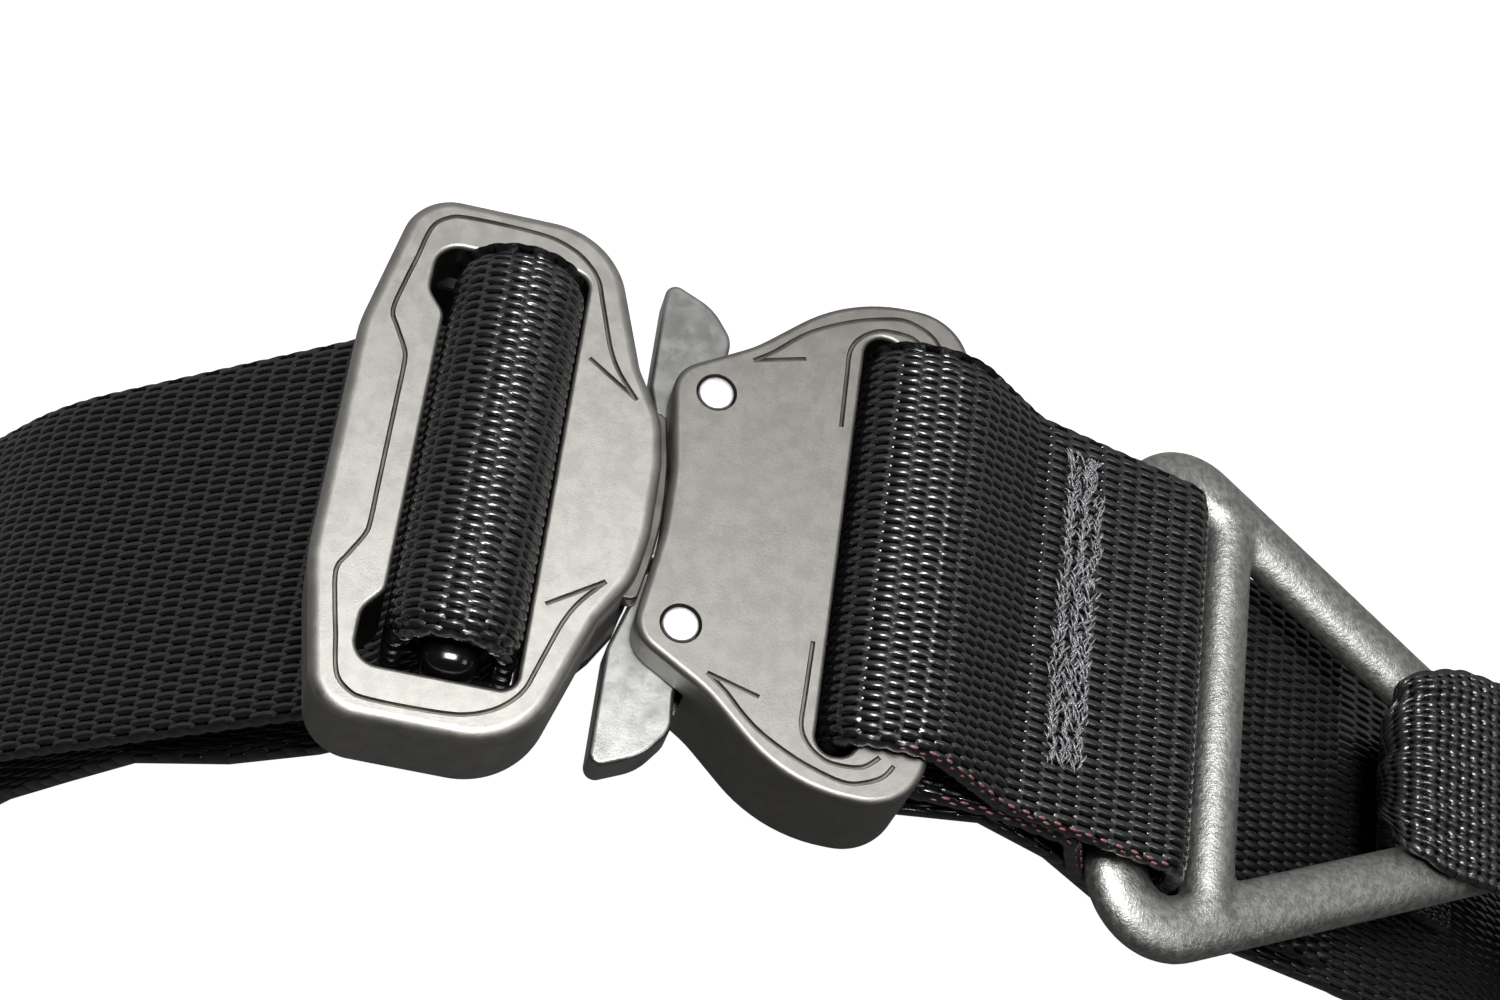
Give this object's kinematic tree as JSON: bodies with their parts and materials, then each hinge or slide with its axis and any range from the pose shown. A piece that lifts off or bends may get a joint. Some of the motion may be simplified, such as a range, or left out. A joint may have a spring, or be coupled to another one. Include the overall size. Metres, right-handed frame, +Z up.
{
  "type": "trouser belt",
  "caption": "Closed webbing belt with a two-part quick-release buckle, a webbing link and a V-ring held by a folded tape; it stands on its edge.",
  "frame": {"origin": "middle of the belt's bounding box, on the surface that it stands on", "axes": "-Y out of the buckle's face, +Z up, +X from the V-ring's side of the buckle towards the adjustable half"},
  "size_m": [0.2598, 0.3774, 0.061],
  "materials": {
    "satin_grey_metal": "satin blasted",
    "zinc_steel": "zinc plated",
    "polished_rivet": "polished flush",
    "forged_steel": "forged, satin",
    "black_bar": "gloss black",
    "black_webbing": "woven nylon webbing",
    "black_tape": "basket-woven tape"
  },
  "bodies": {
    "belt": {"male_frame": "satin_grey_metal", "female_frame": "satin_grey_metal", "adjuster_bar": "black_bar", "rivet_bottom": "polished_rivet", "rivet_top": "polished_rivet", "v_ring": "forged_steel", "link_webbing": "black_webbing", "belt_webbing": "black_webbing", "ring_backing": "black_webbing", "ring_keeper": "black_tape"},
    "lever_bottom": {"lever_bottom": "zinc_steel"},
    "lever_top": {"lever_top": "zinc_steel"}
  },
  "joints": [
    {"name": "lever_bottom_hinge", "type": "hinge", "parent": "belt", "child": "lever_bottom", "pos_m": [0.014, -0.17592, 0.01665], "axis": [0, -0.9998, 0.018], "range_deg": [0, 14], "stiffness_Nm_per_rad": 0.1},
    {"name": "lever_top_hinge", "type": "hinge", "parent": "belt", "child": "lever_top", "pos_m": [0.01439, -0.17544, 0.04314], "axis": [0, 0.9998, -0.018], "range_deg": [0, 14], "stiffness_Nm_per_rad": 0.1}
  ]
}
